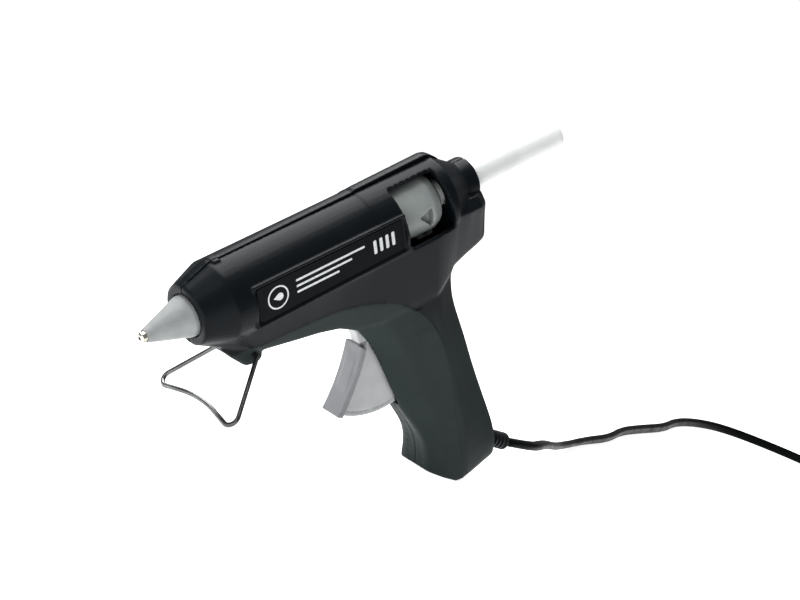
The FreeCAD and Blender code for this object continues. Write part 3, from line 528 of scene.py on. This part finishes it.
# the marks: a drop in a ring, rules of three lengths, and upright bars
RING_PLACE, RING_OUTER, RING_INNER = (57.5, -0.4), 5.3, 4.6
DROP_PLACE, DROP_SIZE = (58.4, -0.4), 1.7
RULE_START, RULE_STOPS, RULE_TOP, RULE_PITCH = 67.0, (103.0, 96.0, 89.0), 2.6, 2.7
BAR_START, BAR_PITCH, BAR_WIDTH, BAR_LEVELS, BAR_COUNT = 107.5, 3.2, 1.6, (-2.8, 3.6), 4
foil_black, tree, shader, place = new_material(
    "gloss_black_print", "#06090b", 0.24, Specular_IOR_Level=0.05
)
vary(tree, shader, place, 20.0, ("#05080a", "#0a0e11"), (0.2, 0.3))
add_grain(tree, shader, place, 6.0, 0.01)
foil_silver, tree, shader, place = new_material("bare_aluminium_foil", "#c9ccce", 0.32, Metallic=0.6)
vary(tree, shader, place, 1.5, ("#bfc3c5", "#d6d8d9"), (0.28, 0.4))
add_grain(tree, shader, place, 0.4, 0.006, (0.1, 1, 1))


def rounded_outline(x0, x1, front, rear, corner, steps=6):
    """A four-sided outline along the barrel with round corners; front and rear are (low, high)."""
    corners = [(x0, front[0]), (x1, rear[0]), (x1, rear[1]), (x0, front[1])]
    middle_x, middle_z = (sum(values) / 4 for values in zip(*corners))
    outline = []
    for k, (x, z) in enumerate(corners):
        centre_x = x + math.copysign(corner, middle_x - x)
        centre_z = z + math.copysign(corner, middle_z - z)
        for step in range(steps + 1):
            angle = math.radians(180 + 90 * k + 90 * step / steps)
            outline.append((centre_x + corner * math.cos(angle), centre_z + corner * math.sin(angle)))
    return outline


def slab(shape, outline, low, high, side, bevel=0.0):
    """A thin plate on one side of the gun from an (x, z) outline, low and high from the middle."""
    layers = [(low, 0.0), (high - bevel, 0.0)] + ([(high, bevel)] if bevel else [])
    middle = Vector((sum(p[0] for p in outline), sum(p[1] for p in outline))) / len(outline)
    rings = []
    for depth, inset in layers:
        ring = []
        for x, z in outline:
            inward = (middle - Vector((x, z))).normalized() * inset
            ring.append(shape.verts.new(gun_point(x + inward.x, side * depth, z + inward.y)))
        rings.append(ring)
    join_rings(shape, rings)
    shape.faces.new(rings[0])
    shape.faces.new(rings[-1])


def from_shape(shape, name, *materials):
    """Turn a finished bmesh into a piece whose faces point outwards."""
    bmesh.ops.recalc_face_normals(shape, faces=shape.faces)
    mesh = bpy.data.meshes.new(name)
    shape.to_mesh(mesh)
    shape.free()
    return add_piece(name, mesh, *materials)


def drop_outline(x, z, size, steps=28):
    """A drop of glue that hangs towards the nozzle: a round back and a drawn-out tip."""
    turn = math.radians(60)
    outline = [(x - size / math.cos(turn), z)]
    for step in range(steps + 1):
        angle = math.pi - turn - (2 * math.pi - 2 * turn) * step / steps
        outline.append((x + size * math.cos(angle), z + size * math.sin(angle)))
    return outline


def ring_slab(shape, x, z, outer, inner, low, high, side, steps=56):
    """A flat ring on one side of the gun, low and high from the middle."""
    rings = []
    for radius, depth in ((outer, low), (outer, high), (inner, high), (inner, low)):
        rings.append([
            shape.verts.new(gun_point(
                x + radius * math.cos(2 * math.pi * k / steps), side * depth,
                z + radius * math.sin(2 * math.pi * k / steps),
            )) for k in range(steps)
        ])
    join_rings(shape, rings + rings[:1])


for name, side in (("label_left", -1), ("label_right", 1)):
    plate = bmesh.new()
    edge = rounded_outline(*LABEL_ENDS, *LABEL_LEVELS, LABEL_CORNER)
    slab(plate, edge, LABEL_BACK, LABEL_FACE, side, LABEL_BEVEL)
    card = from_shape(plate, name + "_card", foil_black)
    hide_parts(name)
    marks = bmesh.new()
    face, proud = LABEL_FACE - 0.02, LABEL_FACE + 0.03
    ring_slab(marks, *RING_PLACE, RING_OUTER, RING_INNER, face, proud, side)
    slab(marks, drop_outline(*DROP_PLACE, DROP_SIZE), face, proud, side)
    for k, stop in enumerate(RULE_STOPS):
        levels = (RULE_TOP - RULE_PITCH * k, RULE_TOP - RULE_PITCH * k + 1.0)
        rule = rounded_outline(RULE_START, stop, levels, levels, 0.45)
        slab(marks, rule, face, proud, side)
    for k in range(BAR_COUNT):
        start = BAR_START + BAR_PITCH * k
        bar = rounded_outline(start, start + BAR_WIDTH, BAR_LEVELS, BAR_LEVELS, 0.6)
        slab(marks, bar, face, proud, side)
    inlay = from_shape(marks, name + "_marks", foil_silver)
    for piece in (card, inlay):
        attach(piece, "housing")

# ------------------------------------------------------------------ nozzle and its sleeve
# A turned brass nozzle, nickel plated and bright at the tip, inside a grey silicone sleeve that
# keeps fingers off the heat.
plated, tree, shader, place = new_material("nickel_plated_brass", "#d2cfc6", 0.18, Metallic=1.0)
vary(tree, shader, place, 2.0, ("#d6d3cb", "#bdb8aa"), (0.12, 0.28))
add_grain(tree, shader, place, 0.35, 0.006)
dress(plated, "nozzle")
silicone, tree, shader, place = new_material("grey_silicone", "#8b8e8e", 0.5)
shader.inputs["Subsurface Weight"].default_value = 0.12
shader.inputs["Subsurface Radius"].default_value = (0.002, 0.002, 0.002)
vary(tree, shader, place, 7.0, ("#868989", "#929595"), (0.44, 0.58))
add_grain(tree, shader, place, 0.6, 0.015)
dress(silicone, "nozzle_sleeve", "inlet_sleeve")

# ------------------------------------------------------------------ heater
# A die-cast aluminium chamber holds a ceramic heater between two steel electrodes, wrapped in
# amber film and pressed by a leaf spring.
cast, tree, shader, place = new_material("die_cast_aluminium", "#a3a4a5", 0.5, Metallic=1.0)
vary(tree, shader, place, 5.0, ("#989a9b", "#b0b1b2"), (0.42, 0.6))
add_grain(tree, shader, place, 0.5, 0.03)
dress(cast, "melt_chamber")
ceramic, tree, shader, place = new_material("sintered_ceramic", "#4c4845", 0.7)
vary(tree, shader, place, 1.5, ("#45413e", "#57524e"), (0.64, 0.8))
add_grain(tree, shader, place, 0.2, 0.02)
dress(ceramic, "ptc_heater")
film, tree, shader, place = new_material("amber_polyimide_film", "#b06a17", 0.24)
vary(tree, shader, place, 6.0, ("#a8620f", "#bd7a24"), (0.18, 0.34))
add_grain(tree, shader, place, 3.0, 0.02)
dress(film, "heater_film")

# ------------------------------------------------------------------ steel parts
# Spring wire, pins, clips and electrodes: drawn or rolled steel with fine lines along it.
steel, tree, shader, place = new_material("drawn_steel", "#8f9091", 0.3, Metallic=1.0)
vary(tree, shader, place, 2.5, ("#87898a", "#9c9d9e"), (0.24, 0.38))
add_grain(tree, shader, place, 0.3, 0.008, (0.15, 1, 1))
dress(
    steel, "electrodes", "heater_spring", "sleeve_clip", "valve_ball", "valve_spring",
    "gripper_claw", "drive_pin", "claw_pin", "trigger_pin", "return_spring", "wire_terminals",
    "clamp_screws",
)

# ------------------------------------------------------------------ wire stand
# One length of bent steel wire, hooked into the housing at both ends; darker where it is oiled.
stand_wire, tree, shader, place = new_material("bright_steel_wire", "#6d6e6f", 0.28, Metallic=1.0)
vary(tree, shader, place, 8.0, ("#5f6061", "#7d7e7f"), (0.22, 0.36))
add_grain(tree, shader, place, 0.4, 0.01, (1, 0.2, 1))
dress(stand_wire, "wire_stand")

# ------------------------------------------------------------------ feed carriage
# Light grey acetal, moulded round the stick's path, smooth with a slight pearl.
CARRIAGE_VOXEL, CARRIAGE_EDGE_STEPS = 0.0004, 4
acetal, tree, shader, place = new_material("grey_acetal", "#7f8583", 0.42)
vary(tree, shader, place, 8.0, ("#7b8180", "#868c8a"), (0.38, 0.5))
add_grain(tree, shader, place, 0.5, 0.01)
slide = softened("carriage_moulding", "feed_carriage", CARRIAGE_VOXEL, CARRIAGE_EDGE_STEPS)
slide.data.materials.append(acetal)
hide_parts("feed_carriage")
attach(slide, "carriage")

# ------------------------------------------------------------------ trigger
# Pale grey nylon: a flat sector with a groove by its rim, and a darker, broad finger pad with
# rounded edges. The clamp on the cord is the same nylon as the sector.
TRIGGER_VOXEL, TRIGGER_EDGE_STEPS = 0.00038, 5
# in gun metres: the pad's upper end, the way square to its face, and how thick the pad is that way
PAD_TOP, PAD_LEAN, PAD_DEPTH = Vector((0.1029, 0, -0.0512)), Vector((0.849, 0, -0.526)), 0.0042
PAD_TOP_SLACK = 0.0005
# the pitch of the pad's tool lines in millimetres, and what a wave texture of scale 1 repeats at
LINE_PITCH, WAVE_REPEAT = 1.58, math.tau / 20
grey_nylon, tree, shader, place = new_material("moulded_grey_nylon", "#abadaf", 0.45)
vary(tree, shader, place, 10.0, ("#a6a8aa", "#b4b6b7"), (0.4, 0.54))
add_grain(tree, shader, place, 0.6, 0.02)
dress(grey_nylon, "cord_clamp")
# the pad's nylon is a shade darker, with fine tool lines down its sides
lined_nylon, tree, shader, place = new_material("lined_grey_nylon", "#85878a", 0.5)
vary(tree, shader, place, 10.0, ("#77797c", "#828487"), (0.46, 0.58))
along_pad = add_node(
    tree, "ShaderNodeMapping", {"Vector": place}, {"Rotation": (0, math.radians(6), 0)}
)
lines = add_node(
    tree, "ShaderNodeTexWave", {"Vector": along_pad.outputs[0]},
    {"Scale": per_metre(LINE_PITCH) * WAVE_REPEAT, "Distortion": 0.4}, bands_direction="X",
)
add_bump(tree, shader, lines, 0.7, 0.1)
lever = softened("trigger_moulding", "trigger", TRIGGER_VOXEL, TRIGGER_EDGE_STEPS)
lever.data.materials.append(grey_nylon)
lever.data.materials.append(lined_nylon)
for face in lever.data.polygons:
    beyond = BENCH_TO_GUN @ face.center - PAD_TOP
    face.material_index = int(beyond.dot(PAD_LEAN) < PAD_DEPTH and beyond.z < PAD_TOP_SLACK)
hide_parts("trigger")
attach(lever, "trigger")

# ------------------------------------------------------------------ wires
# Two stranded leads in smooth PVC, brown for live and blue for neutral.
for name, node, colours in (
    ("brown_wire_pvc", "live_wire", ("#4a2a18", "#563420")),
    ("blue_wire_pvc", "neutral_wire", ("#1c3f86", "#264c96")),
):
    insulation, tree, shader, place = new_material(name, colours[0], 0.36)
    vary(tree, shader, place, 5.0, colours, (0.3, 0.44))
    add_grain(tree, shader, place, 0.5, 0.01)
    dress(insulation, node)

# ------------------------------------------------------------------ glue stick
# Hot-melt adhesive, cast as a rod: pale, waxy and milky, with faint flow lines along it and
# softly rounded ends.
STICK_ENDS, STICK_RADIUS, STICK_SIDES = (53.0, 222.7), 6.0, 64
# the rounded end: radius at each distance in from the end
STICK_END_ROUND = [(5.3, 0), (5.8, 0.25), (6.0, 0.8)]
# where the rod's straight part has its rings of vertices
STICK_RINGS = range(60, 221, 8)
glue, tree, shader, place = new_material(
    "clear_hot_melt", "#e0e2e2", 0.3, IOR=1.47, Transmission_Weight=0.04
)
vary(tree, shader, place, 12.0, ("#dbdddd", "#e4e6e6"), (0.28, 0.36))
along_stick = add_node(
    tree, "ShaderNodeMapping", {"Vector": place}, {"Rotation": (0, LEAN, 0), "Scale": (0.04, 1, 1)}
)
flow = add_node(
    tree, "ShaderNodeTexNoise", {"Vector": along_stick.outputs[0]},
    {"Scale": per_metre(1.6), "Detail": 2.0},
)
add_bump(tree, shader, flow, 0.3, 0.03)
rod = bmesh.new()
profile = [(STICK_ENDS[0] + along, radius) for radius, along in STICK_END_ROUND]
profile += [(x, STICK_RADIUS) for x in STICK_RINGS]
profile += [(STICK_ENDS[1] - along, radius) for radius, along in reversed(STICK_END_ROUND)]
angles = [2 * math.pi * k / STICK_SIDES for k in range(STICK_SIDES)]
rings = [
    [rod.verts.new(gun_point(x, radius * math.cos(a), radius * math.sin(a))) for a in angles]
    for x, radius in profile
]
join_rings(rod, rings)
for ring in (rings[0], rings[-1]):
    rod.faces.new(ring)
stick = from_shape(rod, "glue_rod", glue)
smooth_faces(stick.data)
stick.data.set_sharp_from_angle(angle=math.radians(40))
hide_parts("glue_stick")
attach(stick, "stick")
